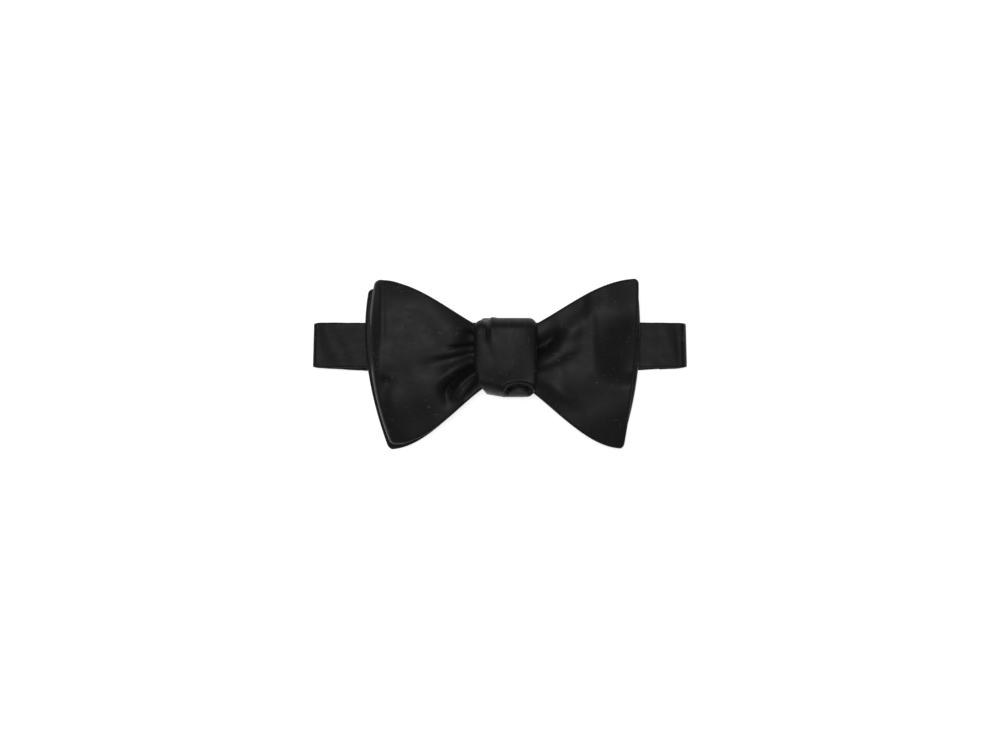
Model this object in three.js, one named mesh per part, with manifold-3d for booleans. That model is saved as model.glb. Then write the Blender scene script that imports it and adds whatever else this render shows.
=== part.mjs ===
// A black silk bow tie of the hand-tied kind, ready knotted, on an adjustable neckband.
// It lies on its back with the neckband folded behind the bow and the closure undone.
//
// Frame: millimetres, +Z up. The table is z = 0. +X runs along the bow to the wearer's left,
// +Y towards the wearer's chin. The origin is under the middle of the whole object.
//
// The bow is two butterfly blades. The front blade has its folded loop at -X and its sewn end
// at +X; the rear blade is the other way round. A strip wrapped round the waist makes the knot.
// The neckband runs behind the bow, folds back at both sides, and carries a hook at one end
// and an eye with a slide adjuster at the other.

import * as THREE from "three";
import { mergeVertices } from "three/addons/utils/BufferGeometryUtils.js";
import Module from "manifold-3d";

// ---------------------------------------------------------------- driving dimensions

const GAP = 0.15; // between plies that lie on each other
const FOLDED_LENGTH = 162.8; // neckband, fold to fold
const SKEW = THREE.MathUtils.degToRad(3); // how far the folded straps lean towards -Y

const BAND = { width: 19.8, y: 8.4, cover: 0.35, lining: 0.4, liningGap: 0.1 };
BAND.thick = 2 * (BAND.cover + BAND.liningGap) + BAND.lining;

const SILK = 0.4; // one blade panel
const INTERLINING = 0.6; // the stiffener between two panels
const PANEL_AT = INTERLINING / 2 + GAP; // a panel's inner face, from the blade's middle

// Middle heights of the layers that lie on each other, from the table up.
const LAYER = {
  returnRun: 0.65,
  mainRun: 3.25,
  hookStrap: 5.95,
  band: 7.95,
};

const ADJUST = {
  eyeReach: 111.5, // right fold to the eye's bar
  sliderReach: 26, // right fold to the slider's middle bar
  travel: 75, // how far the eye can move out
};
const HOOK_REACH = 24; // left fold to the hook's bar
const BAR_R = 0.45; // the round bars that the straps turn round
const TURN_INNER = (LAYER.mainRun - LAYER.returnRun - BAND.thick) / 2;

// ---------------------------------------------------------------- materials

const silk = () => new THREE.MeshStandardMaterial({ color: 0x161617, roughness: 0.55, metalness: 0 });
const lining = () => new THREE.MeshStandardMaterial({ color: 0xcfcabd, roughness: 0.95, metalness: 0 });
const thread = () => new THREE.MeshStandardMaterial({ color: 0x0e0e0f, roughness: 0.6, metalness: 0 });
const nickel = () => new THREE.MeshStandardMaterial({ color: 0xb9b7b0, roughness: 0.25, metalness: 1 });

// ---------------------------------------------------------------- helpers

const wasm = await Module();
wasm.setup();

const v3 = (x, y, z) => new THREE.Vector3(x, y, z);

function node(parent, name, geometry, material) {
  const mesh = new THREE.Mesh(geometry, material);
  mesh.name = name;
  parent.add(mesh);
  return mesh;
}

// A closed geometry as a manifold-3d solid.
function toSolid(geometry) {
  const bare = geometry.clone();
  bare.deleteAttribute("normal");
  bare.deleteAttribute("uv");
  const merged = mergeVertices(bare, 1e-4);
  return new wasm.Manifold(
    new wasm.Mesh({
      numProp: 3,
      vertProperties: new Float32Array(merged.attributes.position.array),
      triVerts: new Uint32Array(merged.index.array),
    }),
  );
}

function toGeometry(solid) {
  const mesh = solid.getMesh();
  const geometry = new THREE.BufferGeometry();
  geometry.setAttribute("position", new THREE.BufferAttribute(mesh.vertProperties, 3));
  geometry.setIndex(new THREE.BufferAttribute(mesh.triVerts, 1));
  return geometry;
}

const joined = (...geometries) =>
  toGeometry(geometries.map(toSolid).reduce((whole, piece) => whole.add(piece)));

function box(x0, x1, y0, y1, z0, z1) {
  const geometry = new THREE.BoxGeometry(x1 - x0, y1 - y0, z1 - z0);
  return geometry.translate((x0 + x1) / 2, (y0 + y1) / 2, (z0 + z1) / 2);
}

// A round bar along Y.
function bar(x, z, halfLength, radius) {
  return new THREE.CylinderGeometry(radius, radius, 2 * halfLength, 16).translate(x, 0, z);
}

// A closed solid between two offsets of a surface, measured along its normal.
// surface(u, v) gives a point; us and vs are the grid lines.
function thickened(surface, us, vs, low, high) {
  const step = 1e-3;
  const normalAt = (u, v) => {
    const alongU = surface(u + step, v).sub(surface(u - step, v));
    const alongV = surface(u, v + step).sub(surface(u, v - step));
    return alongU.cross(alongV).normalize();
  };
  const positions = [];
  for (const offset of [high, low])
    for (const u of us)
      for (const v of vs) {
        const point = surface(u, v).addScaledVector(normalAt(u, v), offset);
        positions.push(point.x, point.y, point.z);
      }
  const rows = us.length;
  const columns = vs.length;
  const at = (side, i, j) => (side * rows + i) * columns + j;
  const index = [];
  const quad = (a, b, c, d) => index.push(a, b, c, a, c, d);
  for (let i = 0; i + 1 < rows; i++)
    for (let j = 0; j + 1 < columns; j++) {
      quad(at(0, i, j), at(0, i + 1, j), at(0, i + 1, j + 1), at(0, i, j + 1));
      quad(at(1, i, j), at(1, i, j + 1), at(1, i + 1, j + 1), at(1, i + 1, j));
    }
  for (let i = 0; i + 1 < rows; i++) {
    quad(at(0, i, 0), at(1, i, 0), at(1, i + 1, 0), at(0, i + 1, 0));
    const last = columns - 1;
    quad(at(0, i + 1, last), at(1, i + 1, last), at(1, i, last), at(0, i, last));
  }
  for (let j = 0; j + 1 < columns; j++) {
    quad(at(0, 0, j + 1), at(1, 0, j + 1), at(1, 0, j), at(0, 0, j));
    const last = rows - 1;
    quad(at(0, last, j), at(1, last, j), at(1, last, j + 1), at(0, last, j + 1));
  }
  const geometry = new THREE.BufferGeometry();
  geometry.setAttribute("position", new THREE.Float32BufferAttribute(positions, 3));
  geometry.setIndex(index);
  return geometry;
}

const spaced = (from, to, count) =>
  Array.from({ length: count + 1 }, (_, i) => from + ((to - from) * i) / count);

// ---------------------------------------------------------------- the blades

// The pinched waist that both blades pass through, under the knot.
const WAIST = { x: 2, top: 13, middle: 3, bottom: -6.2 };

// A layer spreads from the waist to its outer edge. side is the way it goes along X, waistZ its
// height in the knot; top, middle and bottom are its outer edge's reach from the waist's middle,
// its Y and its height.
const layer = (side, waistZ, top, middle, bottom) => ({ side, waistZ, top, middle, bottom });
const FRONT_BLADE = {
  end: layer(1, 17.4, [56.4, 37.4, 11.6], [56.6, 0.4, 15.2], [51.8, -36.6, 8.0]),
  far: layer(-1, 17.4, [54.8, 36.6, 13.2], [56.2, 0.5, 16.8], [48.0, -35.2, 8.8]),
  back: layer(-1, 14.7, [54.8, 36.0, 10.1], [56.2, 0.5, 12.9], [48.0, -34.8, 5.2]),
};
const REAR_BLADE = {
  end: layer(-1, 10.5, [59.2, 33.0, 7.0], [59.8, 0.0, 9.9], [50.6, -37.1, 0.9]),
  far: layer(1, 10.5, [56.2, 36.2, 6.6], [56.8, 0.0, 10.2], [49.6, -35.2, 0.9]),
  back: layer(1, 12.6, [56.2, 35.6, 9.0], [56.8, 0.0, 12.6], [49.6, -35.0, 3.3]),
};
const FLARE = 1.6; // how late the wings widen: 1 is at once

// A point of a layer: p goes from the waist, 0, to the outer edge, 1, and v from the bottom
// edge, -1, to the top edge, 1.
function layerPoint(layer, p, v) {
  const flare = Math.sin((Math.PI / 2) * p) ** FLARE;
  const fall = p ** 1.4;
  const guide = (key) => {
    const [reach, y, z] = layer[key];
    return v3(
      WAIST.x + layer.side * reach * p,
      THREE.MathUtils.lerp(WAIST[key], y, flare),
      THREE.MathUtils.lerp(layer.waistZ, z, fall),
    );
  };
  return v3(0, 0, 0)
    .addScaledVector(guide("bottom"), (v * (v - 1)) / 2)
    .addScaledVector(guide("middle"), 1 - v * v)
    .addScaledVector(guide("top"), (v * (v + 1)) / 2);
}

// A blade's middle surface, as one strip: u = 0 at the sewn end, 1 at the waist, 2 to 3 round
// the fold of the far wing, and on towards 4 in the knot again.
function bladeSurface({ end, far, back }) {
  return (u, v) => {
    if (u <= 1) return layerPoint(end, 1 - u, v);
    if (u <= 2) return layerPoint(far, u - 1, v);
    if (u >= 3) return layerPoint(back, 4 - u, v);
    const from = layerPoint(far, 1, v);
    const to = layerPoint(back, 1, v);
    const angle = (u - 2) * Math.PI;
    const out = (far.side * from.distanceTo(to)) / 2;
    return from.lerp(to, (1 - Math.cos(angle)) / 2).add(v3(out * Math.sin(angle), 0, 0));
  };
}
const TUCKED_END = 3.86; // the folded end stops inside the knot
// Grid lines along and across a blade. The interlining stops one line short of the seams.
const BLADE_LINES = [
  0,
  0.02,
  ...spaced(0.15, 2, 14),
  ...spaced(2, 3, 8).slice(1, -1),
  ...spaced(3, TUCKED_END - 0.02, 7),
  TUCKED_END,
];
const CROSS_LINES = [-1, -0.96, ...spaced(-0.8, 0.8, 6), 0.96, 1];

// An outer panel, an inner panel and the interlining between them.
function blade(parent, name, layers) {
  const surface = bladeSurface(layers);
  const ply = (us, vs, low, high) => thickened(surface, us, vs, low, high);
  const outer = ply(BLADE_LINES, CROSS_LINES, -PANEL_AT - SILK, -PANEL_AT);
  const inner = ply(BLADE_LINES, CROSS_LINES, PANEL_AT, PANEL_AT + SILK);
  const within = [BLADE_LINES, CROSS_LINES].map((lines) => lines.slice(1, -1));
  const stiffener = ply(...within, -INTERLINING / 2, INTERLINING / 2);
  node(parent, `${name}_outer_panel`, outer, silk());
  node(parent, `${name}_inner_panel`, inner, silk());
  node(parent, `${name}_interlining`, stiffener, lining());
}

// ---------------------------------------------------------------- the knot

const KNOT = {
  y: [-13.2, 19.2], // inside of the wrap
  z: [7.0, 19.9],
  backRadius: 0.9,
  frontRadius: 4.4,
  cloth: [0.55, 1.05], // the silk, from the inside of the wrap
  lining: [0, 0.4], // the stiffener under it
  crown: 0.9,
  xMiddle: 2.4,
};

// The wrap's closed section, as points in Y and Z, offset outwards by grow.
function knotSection(grow) {
  const [y0, y1] = [KNOT.y[0] - grow, KNOT.y[1] + grow];
  const [z0, z1] = [KNOT.z[0] - grow, KNOT.z[1] + grow];
  const back = KNOT.backRadius + grow;
  const front = KNOT.frontRadius + grow;
  const corners = [
    [y1 - back, z0 + back, back, -0.5],
    [y1 - front, z1 - front, front, 0],
    [y0 + front, z1 - front, front, 0.5],
    [y0 + back, z0 + back, back, 1],
  ];
  const steps = 4;
  return corners.flatMap(([y, z, radius, start]) =>
    spaced(0, 0.5, steps).map((turn) => {
      const angle = (start + turn) * Math.PI;
      return [y + radius * Math.cos(angle), z + radius * Math.sin(angle)];
    }),
  );
}

// Half the wrap's width along X at a point of the section: wide in front, narrower behind and below.
function knotHalfWidth(y, z) {
  const rise = THREE.MathUtils.smoothstep(z, KNOT.z[0], KNOT.z[1]);
  const low = 1 - THREE.MathUtils.smoothstep(y, KNOT.y[0], KNOT.y[0] + 14);
  return 9.6 + 4.2 * rise - 1.6 * low;
}

// The wrap is a closed band: rings of section points at steps across X, outside and inside.
function knotWrap([low, high], inset) {
  const across = spaced(-1, 1, 6);
  const sections = [knotSection(high), knotSection(low)];
  const around = sections[0].length;
  const positions = [];
  sections.forEach((section) =>
    across.forEach((s) =>
      section.forEach(([y, z], k) => {
        const [yIn, zIn] = sections[1][k];
        const depth = (zIn - KNOT.z[0]) / (KNOT.z[1] - KNOT.z[0]);
        const lift = KNOT.crown * depth * (1 - s * s);
        positions.push(KNOT.xMiddle + s * (knotHalfWidth(yIn, zIn) - inset), y, z + lift);
      }),
    ),
  );
  const at = (side, i, k) => (side * across.length + i) * around + (k % around);
  const index = [];
  const quad = (a, b, c, d) => index.push(a, b, c, a, c, d);
  for (let k = 0; k < around; k++) {
    for (let i = 0; i + 1 < across.length; i++) {
      quad(at(0, i, k), at(0, i, k + 1), at(0, i + 1, k + 1), at(0, i + 1, k));
      quad(at(1, i, k), at(1, i + 1, k), at(1, i + 1, k + 1), at(1, i, k + 1));
    }
    const last = across.length - 1;
    quad(at(0, 0, k), at(1, 0, k), at(1, 0, k + 1), at(0, 0, k + 1));
    quad(at(0, last, k), at(0, last, k + 1), at(1, last, k + 1), at(1, last, k));
  }
  const geometry = new THREE.BufferGeometry();
  geometry.setAttribute("position", new THREE.Float32BufferAttribute(positions, 3));
  geometry.setIndex(index);
  return geometry;
}

// Thread bound round the four blade layers at the waist, as one flat ring.
function waistBinding() {
  const ring = (y0, y1, z0, z1, radius) => {
    const shape = new THREE.Shape();
    shape.moveTo(y0 + radius, z0);
    shape.lineTo(y1 - radius, z0);
    shape.absarc(y1 - radius, z0 + radius, radius, -Math.PI / 2, 0);
    shape.lineTo(y1, z1 - radius);
    shape.absarc(y1 - radius, z1 - radius, radius, 0, Math.PI / 2);
    shape.lineTo(y0 + radius, z1);
    shape.absarc(y0 + radius, z1 - radius, radius, Math.PI / 2, Math.PI);
    shape.lineTo(y0, z0 + radius);
    shape.absarc(y0 + radius, z0 + radius, radius, Math.PI, 1.5 * Math.PI);
    return shape;
  };
  const threadThick = 0.4;
  const outer = ring(-9.3, 15.4, 8.95, 19.1, 1.4);
  const inner = ring(-9.3 + threadThick, 15.4 - threadThick, 8.95 + threadThick, 19.1 - threadThick, 1.0);
  outer.holes.push(new THREE.Path(inner.getPoints(3).reverse()));
  const geometry = new THREE.ExtrudeGeometry(outer, { depth: 2.4, bevelEnabled: false, curveSegments: 3 });
  // Drawn in X, Y and extruded along Z; turned to lie in Y, Z with its depth along X.
  geometry.applyMatrix4(new THREE.Matrix4().makeBasis(v3(0, 1, 0), v3(0, 0, 1), v3(1, 0, 0)));
  return geometry.translate(1.3, 0, 0);
}

// ---------------------------------------------------------------- straps

// A strap's cover is a flat tube along X, open at both ends, and its interlining lies inside.
function coverTube(x0, x1, z) {
  const half = BAND.width / 2;
  const rise = BAND.thick / 2;
  const hollow = box(
    x0 - 1,
    x1 + 1,
    -half + BAND.cover,
    half - BAND.cover,
    z - rise + BAND.cover,
    z + rise - BAND.cover,
  );
  return toGeometry(toSolid(box(x0, x1, -half, half, z - rise, z + rise)).subtract(toSolid(hollow)));
}

function strapLining(x0, x1, z) {
  const half = BAND.width / 2 - BAND.cover - 0.5;
  return box(x0, x1, -half, half, z - BAND.lining / 2, z + BAND.lining / 2);
}

// A strip bent half way round a bar or fold along Y. side is +1 where it bulges towards +X.
function halfTurn(centreX, centreZ, innerRadius, thick, halfWidth, side) {
  const shape = new THREE.Shape();
  shape.absarc(0, 0, innerRadius + thick, -Math.PI / 2, Math.PI / 2, false);
  shape.absarc(0, 0, innerRadius, Math.PI / 2, -Math.PI / 2, true);
  const geometry = new THREE.ExtrudeGeometry(shape, {
    depth: 2 * halfWidth,
    bevelEnabled: false,
    curveSegments: 10,
  });
  // Section in X, Z; extruded along Y.
  geometry.applyMatrix4(new THREE.Matrix4().makeBasis(v3(1, 0, 0), v3(0, 0, 1), v3(0, -1, 0)));
  geometry.translate(0, halfWidth, 0);
  if (side < 0) geometry.rotateY(Math.PI);
  return geometry.translate(centreX, 0, centreZ);
}

// A thin tape wrapped right round a flat or round bar along Y, as a closed sleeve.
function sleeve(x, z, halfX, halfZ, thick, halfWidth) {
  const outline = (hx, hz) => {
    const shape = new THREE.Shape();
    const flat = Math.max(hx - hz, 0.01);
    shape.absarc(flat, 0, hz, -Math.PI / 2, Math.PI / 2, false);
    shape.absarc(-flat, 0, hz, Math.PI / 2, 1.5 * Math.PI, false);
    return shape;
  };
  const outer = outline(halfX + thick, halfZ + thick);
  outer.holes.push(new THREE.Path(outline(halfX, halfZ).getPoints(6).reverse()));
  const geometry = new THREE.ExtrudeGeometry(outer, {
    depth: 2 * halfWidth,
    bevelEnabled: false,
    curveSegments: 6,
  });
  geometry.applyMatrix4(new THREE.Matrix4().makeBasis(v3(1, 0, 0), v3(0, 0, 1), v3(0, -1, 0)));
  return geometry.translate(x, halfWidth, z);
}

// ---------------------------------------------------------------- metal fittings

const FITTING = { half: 12.0, rail: 1.5, sheet: 0.9 };
const WINDOW = FITTING.half - FITTING.rail;

function roundedPlate(x0, x1, y0, y1, radius) {
  const shape = new THREE.Shape();
  shape.moveTo(x0 + radius, y0);
  shape.lineTo(x1 - radius, y0);
  shape.absarc(x1 - radius, y0 + radius, radius, -Math.PI / 2, 0);
  shape.lineTo(x1, y1 - radius);
  shape.absarc(x1 - radius, y1 - radius, radius, 0, Math.PI / 2);
  shape.lineTo(x0 + radius, y1);
  shape.absarc(x0 + radius, y1 - radius, radius, Math.PI / 2, Math.PI);
  shape.lineTo(x0, y0 + radius);
  shape.absarc(x0 + radius, y0 + radius, radius, Math.PI, 1.5 * Math.PI);
  return shape;
}

const sheetMetal = (shape) =>
  new THREE.ExtrudeGeometry(shape, {
    depth: FITTING.sheet,
    bevelEnabled: false,
    curveSegments: 4,
  }).translate(0, 0, -FITTING.sheet / 2);

// Both end fittings hold the strap on a round bar at x = 0, between two side rails.
const RAIL_END = 2.4;
const BAR_AND_RAILS = () => [
  bar(0, 0, FITTING.half - 0.4, BAR_R),
  ...[-1, 1].map((side) => {
    const [a, b] = [side * FITTING.half, side * WINDOW];
    return box(-BAR_R, RAIL_END + 0.8, Math.min(a, b), Math.max(a, b), -BAR_R, BAR_R);
  }),
];

// The eye: a plate with a window that the hook enters.
const EYE = { length: 10.4, window: [3.6, 9.0], windowHalf: 8.5 };
function eyePlate() {
  const frame = roundedPlate(RAIL_END, EYE.length, -FITTING.half, FITTING.half, 0.7);
  frame.holes.push(roundedPlate(...EYE.window, -EYE.windowHalf, EYE.windowHalf, 0.8));
  return joined(sheetMetal(frame), ...BAR_AND_RAILS());
}

// The hook: a web with a tongue that leaves a notch, open at one side, for the eye's end bar.
const HOOK = { webEnd: 4.3, notchEnd: 7.1, tip: 9.7, half: 7.6 };
function hookPlate() {
  const web = roundedPlate(RAIL_END, HOOK.webEnd, -FITTING.half, FITTING.half, 0.6);
  const tongue = roundedPlate(HOOK.notchEnd, HOOK.tip, -HOOK.half, HOOK.half, 1.2);
  const neck = roundedPlate(HOOK.webEnd - 0.9, HOOK.tip - 0.6, -HOOK.half, -4.4, 0.5);
  return joined(sheetMetal(web), sheetMetal(tongue), sheetMetal(neck), ...BAR_AND_RAILS());
}

// The slider: two side rails, two bars over the strap and a middle bar under it.
const SLIDER = { length: 12.0, top: 4.7, barTop: 0.65, barWide: 2.0, midZ: 1.4, midWide: 2.4 };
function sliderFrame() {
  const half = SLIDER.length / 2;
  const rails = [-1, 1].map((side) => {
    const edge = side * FITTING.half;
    const inner = side * WINDOW;
    return box(-half, half, Math.min(edge, inner), Math.max(edge, inner), 0, SLIDER.top);
  });
  const bars = [-1, 1].map((side) => {
    const outer = side * half;
    const inner = side * (half - SLIDER.barWide);
    return box(
      Math.min(outer, inner),
      Math.max(outer, inner),
      -WINDOW - 0.5,
      WINDOW + 0.5,
      SLIDER.top - SLIDER.barTop,
      SLIDER.top,
    );
  });
  const middle = box(
    -SLIDER.midWide / 2,
    SLIDER.midWide / 2,
    -WINDOW - 0.5,
    WINDOW + 0.5,
    SLIDER.midZ - FITTING.sheet / 2,
    SLIDER.midZ + FITTING.sheet / 2,
  );
  return joined(...rails, ...bars, middle);
}

// ---------------------------------------------------------------- the bow tie

const bowTie = new THREE.Group();

blade(bowTie, "front_blade", FRONT_BLADE);
blade(bowTie, "rear_blade", REAR_BLADE);
node(bowTie, "knot_wrap", knotWrap(KNOT.cloth, 0), silk());
node(bowTie, "knot_wrap_interlining", knotWrap(KNOT.lining, 0.8), lining());
node(bowTie, "waist_binding_thread", waistBinding(), thread());
node(
  bowTie,
  "knot_wrap_stitches",
  box(-3.6, 8.4, 3.0, 3.9, KNOT.z[0] - KNOT.cloth[1] - 0.5, KNOT.z[0] - KNOT.cloth[1] - 0.15),
  thread(),
);

// Fold centres. The outside of each fold is half the folded length from the middle.
const half = BAND.thick / 2;
const leftRadius = (LAYER.band - LAYER.hookStrap) / 2;
const rightRadius = (LAYER.band - LAYER.mainRun) / 2;
const leftFoldX = -(FOLDED_LENGTH / 2 - leftRadius - half);
const rightFoldX = FOLDED_LENGTH / 2 - rightRadius - half;
const FOLD_GAP = 0.3;

const bandGroup = new THREE.Group();
bandGroup.position.set(0, BAND.y, 0);
bowTie.add(bandGroup);
node(
  bandGroup,
  "neckband_cover",
  coverTube(leftFoldX + FOLD_GAP, rightFoldX - FOLD_GAP, LAYER.band),
  silk(),
);
node(
  bandGroup,
  "neckband_interlining",
  strapLining(leftFoldX + 2, rightFoldX - 2, LAYER.band),
  lining(),
);

// The folds turn about lines that lean half as far as the straps do.
function foldGroup(x, lean) {
  const group = new THREE.Group();
  group.position.set(x, BAND.y, 0);
  group.rotation.z = lean;
  bowTie.add(group);
  return group;
}
const foldHalfWidth = BAND.width / 2;
node(
  foldGroup(leftFoldX, -SKEW / 2),
  "left_band_fold",
  halfTurn(0, LAYER.band - leftRadius, leftRadius - half, BAND.thick, foldHalfWidth, -1),
  silk(),
);
node(
  foldGroup(rightFoldX, SKEW / 2),
  "right_band_fold",
  halfTurn(0, LAYER.band - rightRadius, rightRadius - half, BAND.thick, foldHalfWidth, 1),
  silk(),
);

// The hook strap, folded back under the left end of the band.
const hookSide = foldGroup(leftFoldX, -SKEW);
const tape = 0.45; // a strap's thinner end, where it wraps a bar
const tapeHalf = 9.6;
const hookStrapEnd = HOOK_REACH - BAR_R - 2 * GAP - tape - 0.1;
node(hookSide, "hook_strap_cover", coverTube(FOLD_GAP, hookStrapEnd, LAYER.hookStrap), silk());
node(hookSide, "hook_strap_interlining", strapLining(1, hookStrapEnd - 1, LAYER.hookStrap), lining());
node(
  hookSide,
  "hook_keeper_loop",
  sleeve(HOOK_REACH, LAYER.hookStrap, BAR_R + GAP, BAR_R + GAP, tape, tapeHalf),
  silk(),
);
const tackTop = LAYER.hookStrap - half - GAP;
node(
  hookSide,
  "hook_bartack",
  box(hookStrapEnd - 3, hookStrapEnd - 1.8, -5, 5, tackTop - 0.25, tackTop),
  thread(),
);
const hook = node(hookSide, "hook", hookPlate(), nickel());
hook.position.set(HOOK_REACH, 0, LAYER.hookStrap);

// The adjuster strap, folded back under the right end of the band. It runs towards local -X,
// turns round the eye's bar and comes back underneath to the slider's middle bar.
const adjustSide = foldGroup(rightFoldX, SKEW);
const eyeX = -ADJUST.eyeReach;
const sliderX = -ADJUST.sliderReach;
const turnZ = (LAYER.mainRun + LAYER.returnRun) / 2;
node(adjustSide, "adjuster_main_run", coverTube(eyeX + FOLD_GAP, -FOLD_GAP, LAYER.mainRun), silk());
node(
  adjustSide,
  "adjuster_interlining",
  strapLining(eyeX + 14, -1, LAYER.mainRun),
  lining(),
);
node(
  adjustSide,
  "adjuster_eye_turn",
  halfTurn(eyeX, turnZ, TURN_INNER, BAND.thick, BAND.width / 2, -1),
  silk(),
);
const wrapHalfX = SLIDER.midWide / 2 + 0.35;
const wrapHalfZ = FITTING.sheet / 2 + 0.1;
node(
  adjustSide,
  "adjuster_return_run",
  box(
    eyeX + FOLD_GAP,
    sliderX - wrapHalfX - tape - FOLD_GAP,
    -BAND.width / 2,
    BAND.width / 2,
    LAYER.returnRun - half,
    LAYER.returnRun + half,
  ),
  silk(),
);
node(
  adjustSide,
  "slider_strap_end",
  sleeve(sliderX, SLIDER.midZ, wrapHalfX, wrapHalfZ, tape, tapeHalf),
  silk(),
);
const slider = node(adjustSide, "slider", sliderFrame(), nickel());
slider.position.set(sliderX, 0, 0);
const eye = node(adjustSide, "eye", eyePlate(), nickel());
eye.position.set(eyeX, 0, turnZ);
eye.rotation.z = Math.PI;

export default bowTie;
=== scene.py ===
import math

import bmesh
import bpy
import numpy as np
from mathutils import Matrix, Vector


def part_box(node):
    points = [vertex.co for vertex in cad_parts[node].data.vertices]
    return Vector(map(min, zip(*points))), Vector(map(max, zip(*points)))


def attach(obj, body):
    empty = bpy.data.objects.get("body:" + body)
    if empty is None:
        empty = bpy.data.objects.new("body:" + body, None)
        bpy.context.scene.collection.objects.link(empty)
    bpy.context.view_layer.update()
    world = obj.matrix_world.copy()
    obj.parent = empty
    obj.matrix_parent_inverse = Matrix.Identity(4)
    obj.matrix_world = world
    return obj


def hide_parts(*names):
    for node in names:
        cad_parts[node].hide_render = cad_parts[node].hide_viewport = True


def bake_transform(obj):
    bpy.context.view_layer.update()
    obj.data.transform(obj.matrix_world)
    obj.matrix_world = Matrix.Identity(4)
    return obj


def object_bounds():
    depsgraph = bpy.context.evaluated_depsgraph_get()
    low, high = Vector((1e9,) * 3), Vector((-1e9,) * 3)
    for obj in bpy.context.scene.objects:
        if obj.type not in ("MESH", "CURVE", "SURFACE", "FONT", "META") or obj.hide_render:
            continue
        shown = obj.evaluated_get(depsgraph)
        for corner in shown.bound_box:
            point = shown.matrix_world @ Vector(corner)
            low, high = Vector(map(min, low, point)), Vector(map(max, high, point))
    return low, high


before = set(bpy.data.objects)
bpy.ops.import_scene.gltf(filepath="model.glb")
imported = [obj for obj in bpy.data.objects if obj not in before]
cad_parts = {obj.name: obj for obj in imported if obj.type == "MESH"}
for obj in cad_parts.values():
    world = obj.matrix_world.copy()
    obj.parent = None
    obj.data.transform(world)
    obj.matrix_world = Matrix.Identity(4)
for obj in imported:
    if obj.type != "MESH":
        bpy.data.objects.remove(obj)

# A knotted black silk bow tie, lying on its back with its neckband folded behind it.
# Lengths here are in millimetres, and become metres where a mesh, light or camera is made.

CAD_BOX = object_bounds()
METRES = 0.001


def node_box(node):
    """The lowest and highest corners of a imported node, in millimetres."""
    return [np.array(corner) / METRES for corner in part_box(node)]


KNOT_LOW, KNOT_HIGH = node_box("knot_wrap")
BAND_LOW, BAND_HIGH = node_box("neckband_cover")
BAND_Y = (BAND_LOW[1] + BAND_HIGH[1]) / 2
BAND_WIDTH = BAND_HIGH[1] - BAND_LOW[1]
STRAP = BAND_HIGH[2] - BAND_LOW[2]  # thickness of a turned strap

# ------------------------------------------------------------------ camera, lights and table

CAMERA_HEIGHT = 1700
CAMERA_SHIFT_Y = -0.2  # centres the bow in the view
BOW_HEIGHT = 12  # the height that the view's width is measured at
VIEW_WIDTH = 435
SENSOR = 36  # the camera sensor's width

camera_data = bpy.data.cameras.new("camera")
camera_data.sensor_width = SENSOR
camera_data.lens = SENSOR * (CAMERA_HEIGHT - BOW_HEIGHT) / VIEW_WIDTH
camera = bpy.data.objects.new("camera", camera_data)
camera.location = Vector((0, CAMERA_SHIFT_Y, CAMERA_HEIGHT)) * METRES
bpy.context.scene.collection.objects.link(camera)
bpy.context.scene.camera = camera
bpy.context.scene.view_settings.view_transform = "Standard"


def softbox(name, place, side, watts):
    """A square studio softbox that hangs at place and faces the bow."""
    data = bpy.data.lights.new(name, "AREA")
    data.size = side * METRES
    data.energy = watts
    light = bpy.data.objects.new(name, data)
    light.location = Vector(place) * METRES
    light.rotation_euler = light.location.to_track_quat("Z", "Y").to_euler()
    bpy.context.scene.collection.objects.link(light)


softbox("key_softbox", place=(-110, 230, 2380), side=800, watts=21.5)

world = bpy.data.worlds.new("studio")
world.use_nodes = True
world.node_tree.nodes["Background"].inputs["Color"].default_value = (1, 1, 1, 1)
world.node_tree.nodes["Background"].inputs["Strength"].default_value = 0.1
bpy.context.scene.world = world

# ------------------------------------------------------------------ materials


def linear(hex_colour):
    """An sRGB hex colour as the linear RGBA that shaders take."""
    channels = [int(hex_colour[i : i + 2], 16) / 255 for i in (1, 3, 5)]
    return (*[c / 12.92 if c <= 0.04045 else ((c + 0.055) / 1.055) ** 2.4 for c in channels], 1)


def add(tree, kind, sockets=None, out=0, **settings):
    """Adds a node with its settings, fills or links its sockets, and gives one of its outputs."""
    node = tree.nodes.new(kind)
    for name, value in settings.items():
        setattr(node, name, value)
    for name, value in (sockets or {}).items():
        if isinstance(value, bpy.types.NodeSocket):
            tree.links.new(value, node.inputs[name])
        else:
            node.inputs[name].default_value = value
    return node.outputs[out]


def start_material(name, shader):
    """A new material, with the constants of its shader set on the shader's own sockets."""
    material = bpy.data.materials.new(name)
    material.use_nodes = True
    surface = material.node_tree.nodes["Principled BSDF"]
    for socket, value in shader.items():
        surface.inputs[socket].default_value = value
    return material, material.node_tree, surface


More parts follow.
